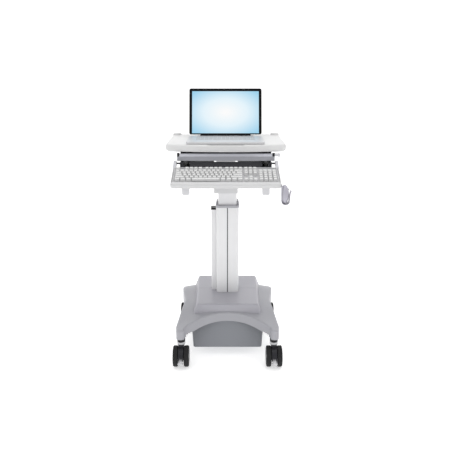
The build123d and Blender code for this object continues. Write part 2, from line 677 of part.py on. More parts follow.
def front_end_caps():
    """Caps filling the upper corners of the drawer front, bored for the lock on the right."""
    y1 = FRONT_Y + FRONT_T
    slope = FRONT_TOP - FRONT_SLOPE_H
    cap = block(FRONT_HALF - 10, FRONT_HALF, FRONT_Y + 1, y1, slope, FRONT_TOP + 4)
    cap = fillet(near(cap, Axis.Z, FRONT_TOP + 4).filter_by(Axis.X), 4)
    bore = disc_x(FRONT_HALF - 12, FRONT_HALF + 1, KNOB_Y, KNOB_Z, KNOB_PIN_R + RUN)
    return pair(cap) - bore


def lock_knob():
    """Turn knob on the right end of the drawer front."""
    start = FRONT_HALF + 0.5
    stub = disc_x(start, start + 15.5, KNOB_Y, KNOB_Z, KNOB_STUB_R)
    cap = disc_x(start + 15.5, start + 24.5, KNOB_Y, KNOB_Z, KNOB_R)
    cap = fillet(near(cap, Axis.X, start + 24.5), 1.5)
    pin = disc_x(FRONT_HALF - 38, start, KNOB_Y, KNOB_Z, KNOB_PIN_R)
    groove = block(start + 23.3, start + 30, KNOB_Y - 1, KNOB_Y + 1, KNOB_Z - 6, KNOB_Z + 6)
    return stub + cap + pin - groove


# ================================================================ tray carriage
def tray_carriage():
    """Sliding pan: floor open around the neck, front wall, side walls with rod ears, runners."""
    half = CHASSIS_HALF
    floor_top = PAN_FLOOR + SHEET
    pan = block(-half, half, PAN_FRONT, PAN_REAR, PAN_FLOOR, floor_top)
    pan -= block(-NECK_HALF - 10, NECK_HALF + 10, PAN_FRONT + 32, PAN_REAR + 1, PAN_FLOOR - 1, floor_top + 1)
    pan += block(-half, half, PAN_FRONT, PAN_FRONT + SHEET, PAN_FLOOR, PAN_TOP)
    notch = block(TRAY_RAIL_IN - 6, TRAY_RAIL_OUT + 3, PAN_FRONT - 1, PAN_FRONT + SHEET + 1,
                  floor_top, PAN_TOP + 1)
    pan -= pair(notch)
    pan += pair(block(half - 4, half, PAN_EAR, PAN_REAR, PAN_FLOOR + 4, PAN_TOP))
    web = TRAY_RAIL_IN - 4
    pan += pair(block(web - 3, web, PAN_FRONT, PAN_REAR, PAN_FLOOR, TRAY_RUNNER_Z + RUNNER_H / 2))
    pan += pair(block(web, TRAY_RAIL_IN + 9, PAN_FRONT + 30, PAN_REAR,
                      TRAY_RUNNER_Z - RUNNER_H / 2, TRAY_RUNNER_Z + RUNNER_H / 2))
    return pan - disc_x(-half - 1, half + 1, ROD_Y, ROD_Z, TILT_R)


def tilt_rods():
    """Two short rods through the side walls of the carriage."""
    return pair(disc_x(CHASSIS_HALF - 10, ARM_OUT + 1, ROD_Y, ROD_Z, TILT_R))


# ================================================================ tray, built level around the rod
def on_rod(shape):
    """Lay a tray piece down at the slope of the tray."""
    return Pos(0, ROD_Y, ROD_Z) * Rot(TRAY_SLOPE, 0, 0) * shape


def tilt_arms():
    """Curved arms from the rods to the underside of the tray."""
    under = TRAY_FLOOR - TRAY_T
    link = side_profile(((8, 10), (-14, 12), (-44, 6), (TRAY_REAR, under + 8), (TRAY_REAR, under),
                         (-112, under), (-116, under - 5), (-52, under - 9), (-16, -13), (4, -12)),
                        ARM_IN, ARM_OUT)
    link = chamfer(near(link, Axis.X, ARM_OUT), 2.5)
    boss = disc_x(ARM_IN, ARM_OUT, 0, 0, ARM_BOSS_R)
    boss = fillet(near(boss, Axis.X, ARM_OUT), 3)
    arm = link + boss
    return on_rod(pair(arm - disc_x(ARM_IN - 1, ARM_OUT + 1, 0, 0, TILT_R + RUN)))


def keyboard_tray():
    """Shallow tray with a rounded front lip and two paddle brackets underneath."""
    half = TRAY_W / 2
    under = TRAY_FLOOR - TRAY_T
    body = slab(-half, half, TRAY_FRONT, TRAY_REAR, under, LIP_TOP, 20)
    body = fillet(near(body, Axis.Z, LIP_TOP), 7)
    body -= block(-half - 1, half + 1, TRAY_FRONT + LIP_D, TRAY_REAR + 1, TRAY_RIM, LIP_TOP + 1)
    body -= slab(-half + 4, half - 4, TRAY_FRONT + LIP_D, TRAY_REAR - 4, TRAY_FLOOR, LIP_TOP + 2, 6)
    outer = PADDLE_X + PADDLE_HALF
    inner = PADDLE_X - PADDLE_HALF
    for x0 in (inner - 4.5, outer + 0.5):
        cheek = block(x0, x0 + 4, PADDLE_Y - 7, PADDLE_Y + 7, under - 12, under)
        cheek -= disc_x(x0 - 1, x0 + 5, PADDLE_Y, under - 7, PADDLE_PIN_R + RUN)
        body += pair(cheek)
    return on_rod(body)


def release_paddle(side):
    """Height release paddle hanging on a cross pin under the tray."""
    under = TRAY_FLOOR - TRAY_T
    z = under - 7
    x = side * PADDLE_X
    barrel = disc_x(x - PADDLE_HALF, x + PADDLE_HALF, PADDLE_Y, z, 5)
    pin = disc_x(x - PADDLE_HALF - 4, x + PADDLE_HALF + 4, PADDLE_Y, z, PADDLE_PIN_R)
    blade = block(x - PADDLE_HALF, x + PADDLE_HALF, PADDLE_Y - 3, PADDLE_Y + 3, z - PADDLE_DROP, z)
    blade = fillet(near(blade, Axis.Z, z - PADDLE_DROP).filter_by(Axis.Y), 7)
    return on_rod(barrel + pin + Pos(0, PADDLE_Y, z) * Rot(-TRAY_SLOPE, 0, 0) * Pos(0, -PADDLE_Y, -z) * blade)


def keyboard_case():
    """Low keyboard case with a recessed key well."""
    half = KEYBOARD_W / 2
    top = TRAY_FLOOR + CASE_T
    case = slab(-half, half, CASE_FRONT, CASE_REAR, TRAY_FLOOR, top, 8)
    case = fillet(near(case, Axis.Z, top), 3)
    well = slab(-half + 6, half - 6, CASE_FRONT + 8, CASE_REAR - 8, top - WELL_DEPTH, top + 1, 4)
    return on_rod(case - well)


def key_rows():
    """Key rectangles of the board as (centre x, centre y, width in units)."""
    left = -22.5 * KEY_PITCH / 2
    front = CASE_FRONT + 8 + ROW_PITCH / 2
    rows = ((0, (1.25, 1.25, 1.25, 6.25, 1.25, 1.25, 1.25, 1.25)),
            (1, (2.25, 1, 1, 1, 1, 1, 1, 1, 1, 1, 1, 2.75)),
            (2, (1.75, 1, 1, 1, 1, 1, 1, 1, 1, 1, 1, 1, 2.25)),
            (3, (1.5, 1, 1, 1, 1, 1, 1, 1, 1, 1, 1, 1, 1, 1.5)),
            (4, (1, 1, 1, 1, 1, 1, 1, 1, 1, 1, 1, 1, 1, 2)),
            (5.3, (1, 0, 1, 1, 1, 1, 0, 1, 1, 1, 1, 0, 1, 1, 1, 1)))
    keys = []
    for row, widths in rows:
        x = left
        for width in widths:
            step = width if width else (1.0 if row == 5.3 and x < left + 1.5 * KEY_PITCH else 0.5)
            if width:
                keys.append((x + step * KEY_PITCH / 2, front + row * ROW_PITCH, width))
            x += step * KEY_PITCH
    for row in (0, 3, 4, 5.3):
        for column in range(3):
            keys.append((left + (15.75 + column) * KEY_PITCH, front + row * ROW_PITCH, 1))
    keys.append((left + 16.75 * KEY_PITCH, front + ROW_PITCH, 1))
    for row in (0, 1, 2, 3, 4):
        for column in range(4):
            keys.append((left + (19 + column) * KEY_PITCH, front + row * ROW_PITCH, 1))
    return keys


def cap_set(keys, gap):
    """Tapered caps for a list of key rectangles, with a gap under them."""
    base = TRAY_FLOOR + CASE_T - WELL_DEPTH + gap
    faces = Sketch()
    for x, y, width in keys:
        faces += Pos(x, y, base) * Rectangle(width * KEY_PITCH - 2.4, ROW_PITCH - 2.6)
    return on_rod(extrude(faces, KEY_TOP - base, taper=9))


def keycaps():
    """Every cap except the space bar."""
    return cap_set([key for key in key_rows() if key[2] < 6], 0.0)


def space_bar():
    """The wide cap, held clear of the well so that it can be pressed."""
    return cap_set([key for key in key_rows() if key[2] > 6], KEY_TRAVEL + 0.4)


# ================================================================ mouse
def mouse_holder():
    """Open pocket that hangs from the right side of the tray."""
    x0 = HOLDER_X
    x1 = HOLDER_X + HOLDER_T + MOUSE_T + 1
    y0 = HOLDER_Y - HOLDER_HALF
    y1 = HOLDER_Y + HOLDER_HALF
    back = block(x0, x0 + HOLDER_T, y0, y1, HOLDER_FLOOR, HOLDER_TOP)
    back = fillet(back.edges().filter_by(Axis.X), 14)
    cup = block(x0, x1 + HOLDER_T, y0, y1, HOLDER_FLOOR, HOLDER_FLOOR + HOLDER_LIP)
    cup = fillet(cup.edges().filter_by(Axis.X).sort_by(Axis.Z)[:2], 14)
    cup -= block(x0 + HOLDER_T, x1, y0 + HOLDER_T, y1 - HOLDER_T, HOLDER_FLOOR + HOLDER_T, HOLDER_TOP)
    cup -= disc_x(x0 + HOLDER_T, x1 + 20, HOLDER_Y, HOLDER_FLOOR + HOLDER_LIP, 20)
    return back + cup


def mouse_blank():
    """Outer form of the mouse, standing on its nose with its back outwards."""
    x0 = HOLDER_X + HOLDER_T + 0.4
    z0 = HOLDER_FLOOR + HOLDER_T + 0.3
    dome = scale(Sphere(1), by=(MOUSE_ROUND, MOUSE_HALF, MOUSE_L / 2))
    dome = Pos(x0 + MOUSE_T - MOUSE_ROUND, HOLDER_Y, z0 + MOUSE_L / 2) * dome
    return dome & block(x0, x0 + 60, HOLDER_Y - 60, HOLDER_Y + 60, z0 - 1, z0 + MOUSE_L + 1)


def mouse_body():
    """Mouse without its two buttons."""
    return mouse_blank() - mouse_button_zone(0.0)


def mouse_button_zone(gap):
    """Space of the two buttons at the nose end of the back."""
    x0 = HOLDER_X + HOLDER_T + 0.4
    z0 = HOLDER_FLOOR + HOLDER_T + 0.3
    zone = block(x0 + MOUSE_T - 9, x0 + MOUSE_T + 1, gap, MOUSE_HALF + 1, z0 + MOUSE_L - 34, z0 + MOUSE_L + 1)
    other = mirror(zone, Plane.XZ)
    return Pos(0, HOLDER_Y, 0) * (zone + other)


def mouse_buttons():
    """Two button shells with a slit between them."""
    return mouse_blank() & mouse_button_zone(0.8)


# ================================================================ laptop
def hinge_point():
    """Lid axis as (y, z)."""
    top = SURFACE_TOP + LAPTOP_FOOT + LAPTOP_T
    return LAPTOP_REAR - 4, top + LID_GAP + LID_T / 2


def laptop_base():
    """Flat base with four feet and two hinge posts."""
    half = LAPTOP_W / 2
    z0 = SURFACE_TOP + LAPTOP_FOOT
    front = LAPTOP_REAR - LAPTOP_D
    base = slab(-half, half, front, LAPTOP_REAR, z0, z0 + LAPTOP_T, 9)
    base = fillet(near(base, Axis.Z, z0), 4)
    base -= slab(-140, 140, front + 82, LAPTOP_REAR - 22, z0 + LAPTOP_T - 1.5, z0 + LAPTOP_T + 1, 3)
    base -= slab(-55, 55, front + 10, front + 72, z0 + LAPTOP_T - 0.4, z0 + LAPTOP_T + 1, 4)
    for y in (front + 20, LAPTOP_REAR - 20):
        base += pair(disc_z(half - 25, y, SURFACE_TOP, z0 + 1, 7))
    y, z = hinge_point()
    post = disc_x(HINGE_HALF + 1, HINGE_HALF + HINGE_POST, y, z, LID_T / 2)
    post += block(HINGE_HALF + 1, HINGE_HALF + HINGE_POST, y - LID_T / 2, y + LID_T / 2, z0 + LAPTOP_T - 1, z)
    pin = disc_x(HINGE_HALF - 20, HINGE_HALF + 2, y, z, HINGE_PIN_R)
    return base + pair(post + pin)


def laptop_keys():
    """Flat keys in the well of the base."""
    z0 = SURFACE_TOP + LAPTOP_FOOT + LAPTOP_T - 1.5
    keys = Sketch()
    front = LAPTOP_REAR - LAPTOP_D + 82
    for row in range(1, 6):
        for column in range(14):
            keys += Pos(-130 + 20 * column, front + 14 + 22 * row, z0) * Rectangle(17, 18.5)
    for x, width in ((-120, 37), (-80, 37), (0, 117), (80, 37), (120, 37)):
        keys += Pos(x, front + 14, z0) * Rectangle(width, 18.5)
    return extrude(keys, 1.3)


def lid_in_place(shape):
    """Open a lid piece that was built closed around the hinge axis."""
    y, z = hinge_point()
    return Pos(0, y, z) * Rot(-LID_OPEN, 0, 0) * shape


def laptop_lid():
    """Thin lid with a screen recess and a hinge barrel."""
    half = LAPTOP_W / 2
    lid = slab(-half, half, -LID_L - 4, -4, -LID_T / 2, LID_T / 2, 9)
    lid = fillet(near(lid, Axis.Z, LID_T / 2), 1.5)
    lid -= screen_blank()
    arm = block(-HINGE_HALF, HINGE_HALF, -6, 0, -1.6, 1.6)
    barrel = disc_x(-HINGE_HALF, HINGE_HALF, 0, 0, LID_T / 2)
    lid += arm + barrel
    for side in (-1, 1):
        lid -= disc_x(side * HINGE_HALF - 21, side * HINGE_HALF + 21, 0, 0, HINGE_PIN_R + RUN)
    return lid_in_place(lid)


def screen_blank():
    """Screen panel in the closed lid."""
    y0 = -LID_L - 4 + 14
    return block(-SCREEN_W / 2, SCREEN_W / 2, y0, y0 + SCREEN_H, -LID_T / 2, -LID_T / 2 + SCREEN_T)


def laptop_screen():
    """Screen panel set flush in the lid."""
    return lid_in_place(screen_blank())


# ================================================================ write every node
def save_casters():
    """Write the four casters."""
    places = (("fl", -STEM_X, STEM_FRONT, True), ("fr", STEM_X, STEM_FRONT, True),
              ("rl", -STEM_X, STEM_REAR, False), ("rr", STEM_X, STEM_REAR, False))
    for tag, x, y, brake in places:
        save("caster_fork_" + tag, caster_fork(x, y, brake))
        save("caster_tyres_" + tag, caster_tyres(x, y))
        save("caster_wheelset_" + tag, caster_wheelset(x, y))
        if brake:
            save("brake_pedal_" + tag, brake_pedal(x, y))


def save_base():
    """Write the base and the fixed half of the column."""
    for maker in (base_cover, power_cover, base_frame, foot_bolts, battery_box, battery_pack,
                  caster_stems, caster_rings, column_shell, slot_strip, column_collar,
                  cable_duct, duct_cap, lift_cylinder, lift_rod, riser, glide_pads):
        save(maker.__name__, maker())


def save_head():
    """Write everything that is centred on the head."""
    for maker in (head_bracket, head_chassis, work_surface, drawer_channels, tray_channels,
                  drawer_box, drawer_front, front_end_caps, lock_knob, tray_carriage, tilt_rods,
                  tilt_arms, keyboard_tray, keyboard_case, keycaps, space_bar, mouse_holder,
                  mouse_body, mouse_buttons):
        save(maker.__name__, maker(), HEAD_DX)
    save("paddle_left", release_paddle(-1), HEAD_DX)
    save("paddle_right", release_paddle(1), HEAD_DX)
    for maker in (laptop_base, laptop_keys, laptop_lid, laptop_screen):
        save(maker.__name__, maker(), HEAD_DX + LAPTOP_DX)


def main():
    os.makedirs("parts", exist_ok=True)
    save_base()
    save_casters()
    save_head()


main()
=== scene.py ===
"""Looks of a mobile workstation cart: finishes for every CAD node, small fittings and a plain studio."""

import logging
import math
from dataclasses import dataclass, field
from enum import Enum
from typing import Iterable, Sequence

import bmesh
import bpy
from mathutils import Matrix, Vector


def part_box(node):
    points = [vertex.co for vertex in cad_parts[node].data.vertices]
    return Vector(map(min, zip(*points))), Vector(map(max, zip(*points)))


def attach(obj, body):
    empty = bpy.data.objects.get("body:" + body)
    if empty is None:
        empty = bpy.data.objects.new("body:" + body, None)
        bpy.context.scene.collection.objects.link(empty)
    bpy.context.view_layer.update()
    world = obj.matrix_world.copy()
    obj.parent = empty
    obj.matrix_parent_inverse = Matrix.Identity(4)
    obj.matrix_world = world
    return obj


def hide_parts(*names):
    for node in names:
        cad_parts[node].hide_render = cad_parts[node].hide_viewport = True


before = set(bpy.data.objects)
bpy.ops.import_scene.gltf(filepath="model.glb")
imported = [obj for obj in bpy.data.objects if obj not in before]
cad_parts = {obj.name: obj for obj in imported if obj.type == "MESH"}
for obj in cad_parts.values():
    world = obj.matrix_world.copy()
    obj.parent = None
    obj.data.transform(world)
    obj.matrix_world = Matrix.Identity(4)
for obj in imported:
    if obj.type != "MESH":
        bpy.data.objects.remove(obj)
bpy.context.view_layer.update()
LOG = logging.getLogger("cart")
Colour = tuple[float, float, float]


# ---------------------------------------------------------------------------- shader helpers
class Signal:
    """A number socket that can be used in Python arithmetic."""

    def __init__(self, graph: "Graph", socket: bpy.types.NodeSocket) -> None:
        """Wrap a socket.

        Args:
            graph: the graph that owns the socket.
            socket: an output socket that carries a number.
        """
        self.graph = graph
        self.socket = socket

    def _math(self, operation: str, a: object, b: object) -> "Signal":
        """Add one Math node.

        Args:
            operation: Blender's name of the operation.
            a: first operand.
            b: second operand.

        Returns:
            The node's result.
        """
        node = self.graph.node("ShaderNodeMath", {"operation": operation}, {0: a, 1: b})
        return Signal(self.graph, node.outputs[0])

    def __add__(self, other: object) -> "Signal":
        """Sum."""
        return self._math("ADD", self, other)

    def __radd__(self, other: object) -> "Signal":
        """Sum with the signal on the right."""
        return self._math("ADD", other, self)

    def __sub__(self, other: object) -> "Signal":
        """Difference."""
        return self._math("SUBTRACT", self, other)

    def __rsub__(self, other: object) -> "Signal":
        """Difference with the signal on the right."""
        return self._math("SUBTRACT", other, self)

    def __mul__(self, other: object) -> "Signal":
        """Product."""
        return self._math("MULTIPLY", self, other)

    def __rmul__(self, other: object) -> "Signal":
        """Product with the signal on the right."""
        return self._math("MULTIPLY", other, self)

    def above(self, limit: float) -> "Signal":
        """One where the signal is over a limit, else zero."""
        return self._math("GREATER_THAN", self, limit)


class Graph:
    """Node tree of one material."""

    def __init__(self, name: str) -> None:
        """Start an empty material.

        Args:
            name: the material's name.
        """
        self.material = bpy.data.materials.new(name)
        self.material.use_nodes = True
        self.tree = self.material.node_tree
        self.tree.nodes.clear()

    def node(self, kind: str, settings: dict | None = None, values: dict | None = None) -> bpy.types.Node:
        """Add a node of any kind.

        Args:
            kind: the node's type name.
            settings: attributes set before anything else; "stops" fills a colour ramp.
            values: numbers, colours, sockets or signals for its inputs.

        Returns:
            The new node.
        """
        made = self.tree.nodes.new(kind)
        for key, value in (settings or {}).items():
            if key == "stops":
                fill_ramp(made, value)
            else:
                setattr(made, key, value)
        for key, value in (values or {}).items():
            self.feed(made.inputs[key], value)
        return made

    def feed(self, socket: bpy.types.NodeSocket, value: object) -> None:
        """Link or set one input.

        Args:
            socket: the input.
            value: a signal, a socket or a plain value.
        """
        if isinstance(value, Signal):
            self.tree.links.new(value.socket, socket)
        elif isinstance(value, bpy.types.NodeSocket):
            self.tree.links.new(value, socket)
        else:
            socket.default_value = value

    def coordinates(self, stretch: Sequence[float] = (1, 1, 1),
                    centre: Sequence[float] = (0, 0, 0)) -> bpy.types.NodeSocket:
        """Object coordinates, centred and stretched.

        Args:
            stretch: scale along each axis.
            centre: the point that becomes the origin.

        Returns:
            A vector socket.
        """
        base = self.node("ShaderNodeTexCoord").outputs["Object"]
        moved = self.node("ShaderNodeVectorMath", {"operation": "SUBTRACT"}, {0: base, 1: tuple(centre)})
        return self.node("ShaderNodeVectorMath", {"operation": "MULTIPLY"},
                         {0: moved.outputs[0], 1: tuple(stretch)}).outputs[0]

    def noise(self, scale: float, detail: float = 3.0, vector: object = None) -> Signal:
        """Noise between 0 and 1.

        Args:
            scale: how many cells fit in a metre.
            detail: number of octaves.
            vector: where it is read; object coordinates when left out.

        Returns:
            The noise value.
        """
        where = vector if vector is not None else self.coordinates()
        node = self.node("ShaderNodeTexNoise", {"noise_dimensions": "3D"},
                         {"Vector": where, "Scale": scale, "Detail": detail})
        return Signal(self, node.outputs["Fac"])

    def mix(self, factor: object, low: Colour, high: Colour) -> bpy.types.NodeSocket:
        """Blend two colours.

        Args:
            factor: 0 gives low, 1 gives high.
            low: first colour or colour socket.
            high: second colour or colour socket.

        Returns:
            A colour socket.
        """
        def rgba(value: object) -> object:
            """Plain colour with its alpha; a socket is left as it is."""
            return (*value, 1.0) if isinstance(value, tuple) else value
        node = self.node("ShaderNodeMix", {"data_type": "RGBA"},
                         {0: factor, 6: rgba(low), 7: rgba(high)})
        return node.outputs[2]

    def bump(self, height: Signal, strength: float, distance: float) -> bpy.types.NodeSocket:
        """Bump normal.

        Args:
            height: the height signal.
            strength: how much it shows.
            distance: its depth in metres.

        Returns:
            A normal socket.
        """
        node = self.node("ShaderNodeBump", {}, {"Strength": strength, "Distance": distance, "Height": height})
        return node.outputs["Normal"]

    def close(self, **inputs: object) -> bpy.types.Material:
        """Add the surface shader and the output.

        Args:
            inputs: values of the surface shader, with underscores for spaces.

        Returns:
            The finished material.
        """
        values = {key.replace("_", " "): value for key, value in inputs.items()}
        surface = self.node("ShaderNodeBsdfPrincipled", {}, values)
        self.node("ShaderNodeOutputMaterial", {}, {"Surface": surface.outputs[0]})
        return self.material


def fill_ramp(node: bpy.types.Node, stops: Sequence[tuple[float, Colour]]) -> None:
    """Set the stops of a colour ramp.

    Args:
        node: the ramp node.
        stops: places with their colours.
    """
    ramp = node.color_ramp
    while len(ramp.elements) < len(stops):
        ramp.elements.new(0.5)
    for element, (place, colour) in zip(ramp.elements, stops):
        element.position = place
        element.color = (*colour, 1.0)


def shade(colour: Colour, factor: float) -> Colour:
    """Colour made darker or lighter by a factor."""
    return tuple(min(1.0, part * factor) for part in colour)


# ---------------------------------------------------------------------------- finishes
class Grain(Enum):
    """Surface texture of a moulded or painted part: cells per metre and depth in metres."""

    SMOOTH = (220.0, 0.00003)
    FINE = (1400.0, 0.00008)
    COARSE = (700.0, 0.00015)
    PEEL = (380.0, 0.00006)


@dataclass(frozen=True)
class Moulded:
    """Moulded plastic with a grain, faint handling marks and uneven gloss."""

    name: str
    colour: Colour
    roughness: float = 0.45
    grain: Grain = Grain.FINE
    coat: float = 0.0
    shine: float = 0.5

    def make(self) -> bpy.types.Material:
        """Build the material."""
        graph = Graph(self.name)
        cells, depth = self.grain.value
        cloud = graph.noise(9.0, 4.0)
        handled = graph.noise(3.1, 2.0)
        fine = graph.noise(cells, 2.0)
        tint = graph.mix(cloud, shade(self.colour, 0.96), shade(self.colour, 1.04))
        rough = self.roughness - 0.06 + cloud * 0.08 + handled * 0.05
        return graph.close(Base_Color=tint, Roughness=rough, Coat_Weight=self.coat, Coat_Roughness=0.12,
                           Specular_IOR_Level=self.shine,
                           Normal=graph.bump(fine, 0.35, depth))


@dataclass(frozen=True)
class Painted:
    """Powder-coated metal with orange peel, small scuffs and an optional painted highlight: a lighter band above
    a given height.
    """

    name: str
    colour: Colour
    roughness: float = 0.4
    scuff: float = 0.0
    coat: float = 0.15
    # height in object coordinates where the painted highlight band starts; the default keeps it off
    highlight_from: float = 99.0

    def make(self) -> bpy.types.Material:
        """Build the material."""
        graph = Graph(self.name)
        cloud = graph.noise(6.0, 4.0)
        peel = graph.noise(Grain.PEEL.value[0], 2.0)
        marks = graph.noise(60.0, 6.0, graph.coordinates((1, 1, 5))).above(0.68) * self.scuff
        tint = graph.mix(cloud, shade(self.colour, 0.95), shade(self.colour, 1.05))
        # painted highlight: above the given height the colour is lightened to stand in for light falling on a
        # top slope
        parts = graph.node("ShaderNodeSeparateXYZ", {}, {0: graph.coordinates()})
        highlight_band = Signal(graph, parts.outputs[2]).above(self.highlight_from) * 0.85
        highlighted = graph.mix(highlight_band, tint, shade(self.colour, 1.9))
        worn = graph.mix(marks, highlighted, shade(self.colour, 1.5))
        rough = self.roughness - 0.05 + cloud * 0.1 + marks * 0.1
        return graph.close(Base_Color=worn, Roughness=rough, Coat_Weight=self.coat, Coat_Roughness=0.25,
                           Normal=graph.bump(peel, 0.3, Grain.PEEL.value[1]))


@dataclass(frozen=True)
class Metal:
    """Bare metal, brushed along one axis."""

    name: str
    colour: Colour
    roughness: float = 0.3
    stretch: Sequence[float] = (1, 1, 40)

    def make(self) -> bpy.types.Material:
        """Build the material."""
        graph = Graph(self.name)
        lines = graph.noise(60.0, 4.0, graph.coordinates(self.stretch))
        cloud = graph.noise(12.0, 3.0)
        tint = graph.mix(lines, shade(self.colour, 0.9), shade(self.colour, 1.06))
        rough = self.roughness + lines * 0.14 + cloud * 0.06
        return graph.close(Base_Color=tint, Metallic=1.0, Roughness=rough,
                           Normal=graph.bump(lines, 0.2, 0.00003))


@dataclass(frozen=True)
class Rubber:
    """Dark rubber with dust in its pores."""

    name: str
    colour: Colour
    roughness: float = 0.62

    def make(self) -> bpy.types.Material:
        """Build the material."""
        graph = Graph(self.name)
        dust = graph.noise(38.0, 6.0)
        pores = graph.noise(900.0, 2.0)
        tint = graph.mix((dust * 1.4 - 0.45) * 0.5, self.colour, shade(self.colour, 2.6))
        return graph.close(Base_Color=tint, Roughness=self.roughness + dust * 0.16, Specular_IOR_Level=0.3,
                           Normal=graph.bump(pores, 0.4, 0.00012))


@dataclass(frozen=True)
class LitScreen:
    """Lit panel that fades from white in the middle to pale blue at its edges."""

    name: str
    centre: Vector
    half_width: float
    half_height: float
    middle: Colour = (1.0, 1.0, 1.0)
    ring: Colour = (0.80, 0.93, 1.0)
    edge: Colour = (0.33, 0.66, 0.88)

    def make(self) -> bpy.types.Material:
        """Build the material."""
        graph = Graph(self.name)
        flat = (1 / self.half_width, 0, 1 / self.half_height)
        place = graph.coordinates(flat, self.centre)
        length = graph.node("ShaderNodeVectorMath", {"operation": "LENGTH"}, {0: place})
        reach = Signal(graph, length.outputs["Value"]) * 0.75 + graph.noise(14.0) * 0.02
        stops = ((0.06, self.middle), (0.5, self.ring), (1.0, self.edge))
        ramp = graph.node("ShaderNodeValToRGB", {"stops": stops}, {"Fac": reach})
        return graph.close(Base_Color=(0.02, 0.02, 0.02, 1.0), Roughness=0.16 + graph.noise(20.0) * 0.04,
                           Emission_Color=ramp.outputs[0], Emission_Strength=0.92)


DECK = Moulded("deck_plastic", (0.385, 0.385, 0.415), 0.42, Grain.FINE)
COVER = Moulded("cover_plastic", (0.415, 0.41, 0.45), 0.38, Grain.FINE)
BOX = Moulded("box_plastic", (0.25, 0.26, 0.285), 0.5, Grain.COARSE)
FRAME_PAINT = Painted("frame_paint", (0.05, 0.05, 0.055), 0.5, 0.3)
ZINC = Metal("zinc_plate", (0.62, 0.62, 0.64), 0.34, (1, 1, 8))
CELL = Moulded("cell_case", (0.03, 0.035, 0.05), 0.3, Grain.SMOOTH, 0.3)
COLUMN_PAINT = Painted("column_paint", (0.82, 0.82, 0.83), 0.35)
RISER_SKIN = Painted("riser_paint", (0.76, 0.76, 0.775), 0.3)
STRIP = Rubber("strip_rubber", (0.09, 0.09, 0.10))
COLLAR = Moulded("collar_plastic", (0.42, 0.42, 0.45), 0.4)
BLACK = Moulded("black_plastic", (0.012, 0.012, 0.014), 0.42, Grain.FINE, 0.0, 0.3)
WAX = Moulded("glide_plastic", (0.8, 0.79, 0.74), 0.35, Grain.SMOOTH)
CHROME = Metal("ground_rod", (0.75, 0.75, 0.77), 0.12, (1, 1, 3))
BRACKET = Painted("bracket_paint", (0.66, 0.66, 0.67), 0.36)
BLACK_STEEL = Painted("black_steel", (0.012, 0.012, 0.017), 0.42, 0.2, 0.05)
TOP = Moulded("top_plastic", (0.71, 0.71, 0.71), 0.4, Grain.SMOOTH, 0.0, 0.3)
# drawer front: its top slope gets a lighter band of painted highlight
FRONT = Painted("front_paint", (0.31, 0.315, 0.345), 0.4, highlight_from=0.9895)
DRAWER = Painted("drawer_paint", (0.22, 0.22, 0.24), 0.5)
LOCK = Metal("lock_metal", (0.70, 0.70, 0.72), 0.25, (6, 1, 1))
ARM = Painted("arm_paint", (0.55, 0.55, 0.58), 0.34)
TRAY = Moulded("tray_plastic", (0.62, 0.62, 0.625), 0.36, Grain.SMOOTH, 0.0, 0.4)
CASE = Moulded("case_plastic", (0.47, 0.47, 0.48), 0.45, Grain.FINE)
KEY = Moulded("key_plastic", (0.69, 0.69, 0.69), 0.45, Grain.FINE)
PADDLE = Moulded("paddle_plastic", (0.66, 0.66, 0.68), 0.38)
HOLDER = Moulded("holder_plastic", (0.62, 0.61, 0.66), 0.4)
MOUSE = Moulded("mouse_plastic", (0.44, 0.43, 0.49), 0.32, Grain.SMOOTH, 0.2)
WHEEL_RUBBER = Rubber("scroll_rubber", (0.05, 0.05, 0.055))
LAPTOP = Metal("laptop_alloy", (0.72, 0.72, 0.73), 0.42, (1, 12, 1))
LAPTOP_KEY = Moulded("laptop_key", (0.52, 0.52, 0.53), 0.45)
LID = Moulded("lid_shell", (0.004, 0.004, 0.005), 0.4, Grain.SMOOTH, 0.0, 0.12)
FORK = Painted("fork_paint", (0.70, 0.70, 0.72), 0.38)
HOOD = Moulded("hood_plastic", (0.018, 0.018, 0.023), 0.45, Grain.FINE, 0.0, 0.3)
TYRE = Rubber("tyre_rubber", (0.012, 0.012, 0.013))
HUB = Moulded("hub_plastic", (0.24, 0.25, 0.26), 0.4)
PEDAL = Moulded("pedal_plastic", (0.60, 0.60, 0.62), 0.42)

_made: dict[str, bpy.types.Material] = {}


def finish_of(finish: object) -> bpy.types.Material:
    """Material of a finish, built once.

    Args:
        finish: any of the finish classes.

    Returns:
        The shared material.
    """
    if finish.name not in _made:
        _made[finish.name] = finish.make()
    return _made[finish.name]


def dress(nodes: Iterable[str], finish: object) -> None:
    """Give CAD nodes a finish.

    Args:
        nodes: node names.
        finish: the finish they get.
    """
    material = finish_of(finish)
    for name in nodes:
        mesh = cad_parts[name].data
        mesh.materials.clear()
        mesh.materials.append(material)


# ---------------------------------------------------------------------------- mesh helpers
def linked(name: str, mesh: bpy.types.Mesh) -> bpy.types.Object:
    """Object in the scene for a mesh.

    Args:
        name: the object's name.
        mesh: its mesh.

    Returns:
        The new object, at the origin.
    """
    made = bpy.data.objects.new(name, mesh)
    bpy.context.scene.collection.objects.link(made)
    return made


def add_piece(name: str, mesh: bpy.types.Mesh, finish: object, body: str) -> bpy.types.Object:
    """Link a finished mesh as a piece of the cart.

    Args:
        name: the piece's name.
        mesh: its mesh, already in place.
        finish: its finish.
        body: the CAD body it rides on.

    Returns:
        The new object.
    """
    piece = linked(name, mesh)
    if not mesh.materials:
        mesh.materials.append(finish_of(finish))
    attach(piece, body)
    return piece


def baked(piece: bpy.types.Object) -> bpy.types.Mesh:
    """Mesh of an object with its modifiers applied; the object is removed.

    Args:
        piece: a linked object at the origin.

    Returns:
        A plain mesh.
    """
    graph = bpy.context.evaluated_depsgraph_get()
    mesh = bpy.data.meshes.new_from_object(piece.evaluated_get(graph))
    bpy.data.objects.remove(piece)
    return mesh


def smooth(mesh: bpy.types.Mesh) -> bpy.types.Mesh:
    """Give every face smooth shading and return the mesh."""
    for face in mesh.polygons:
        face.use_smooth = True
    return mesh


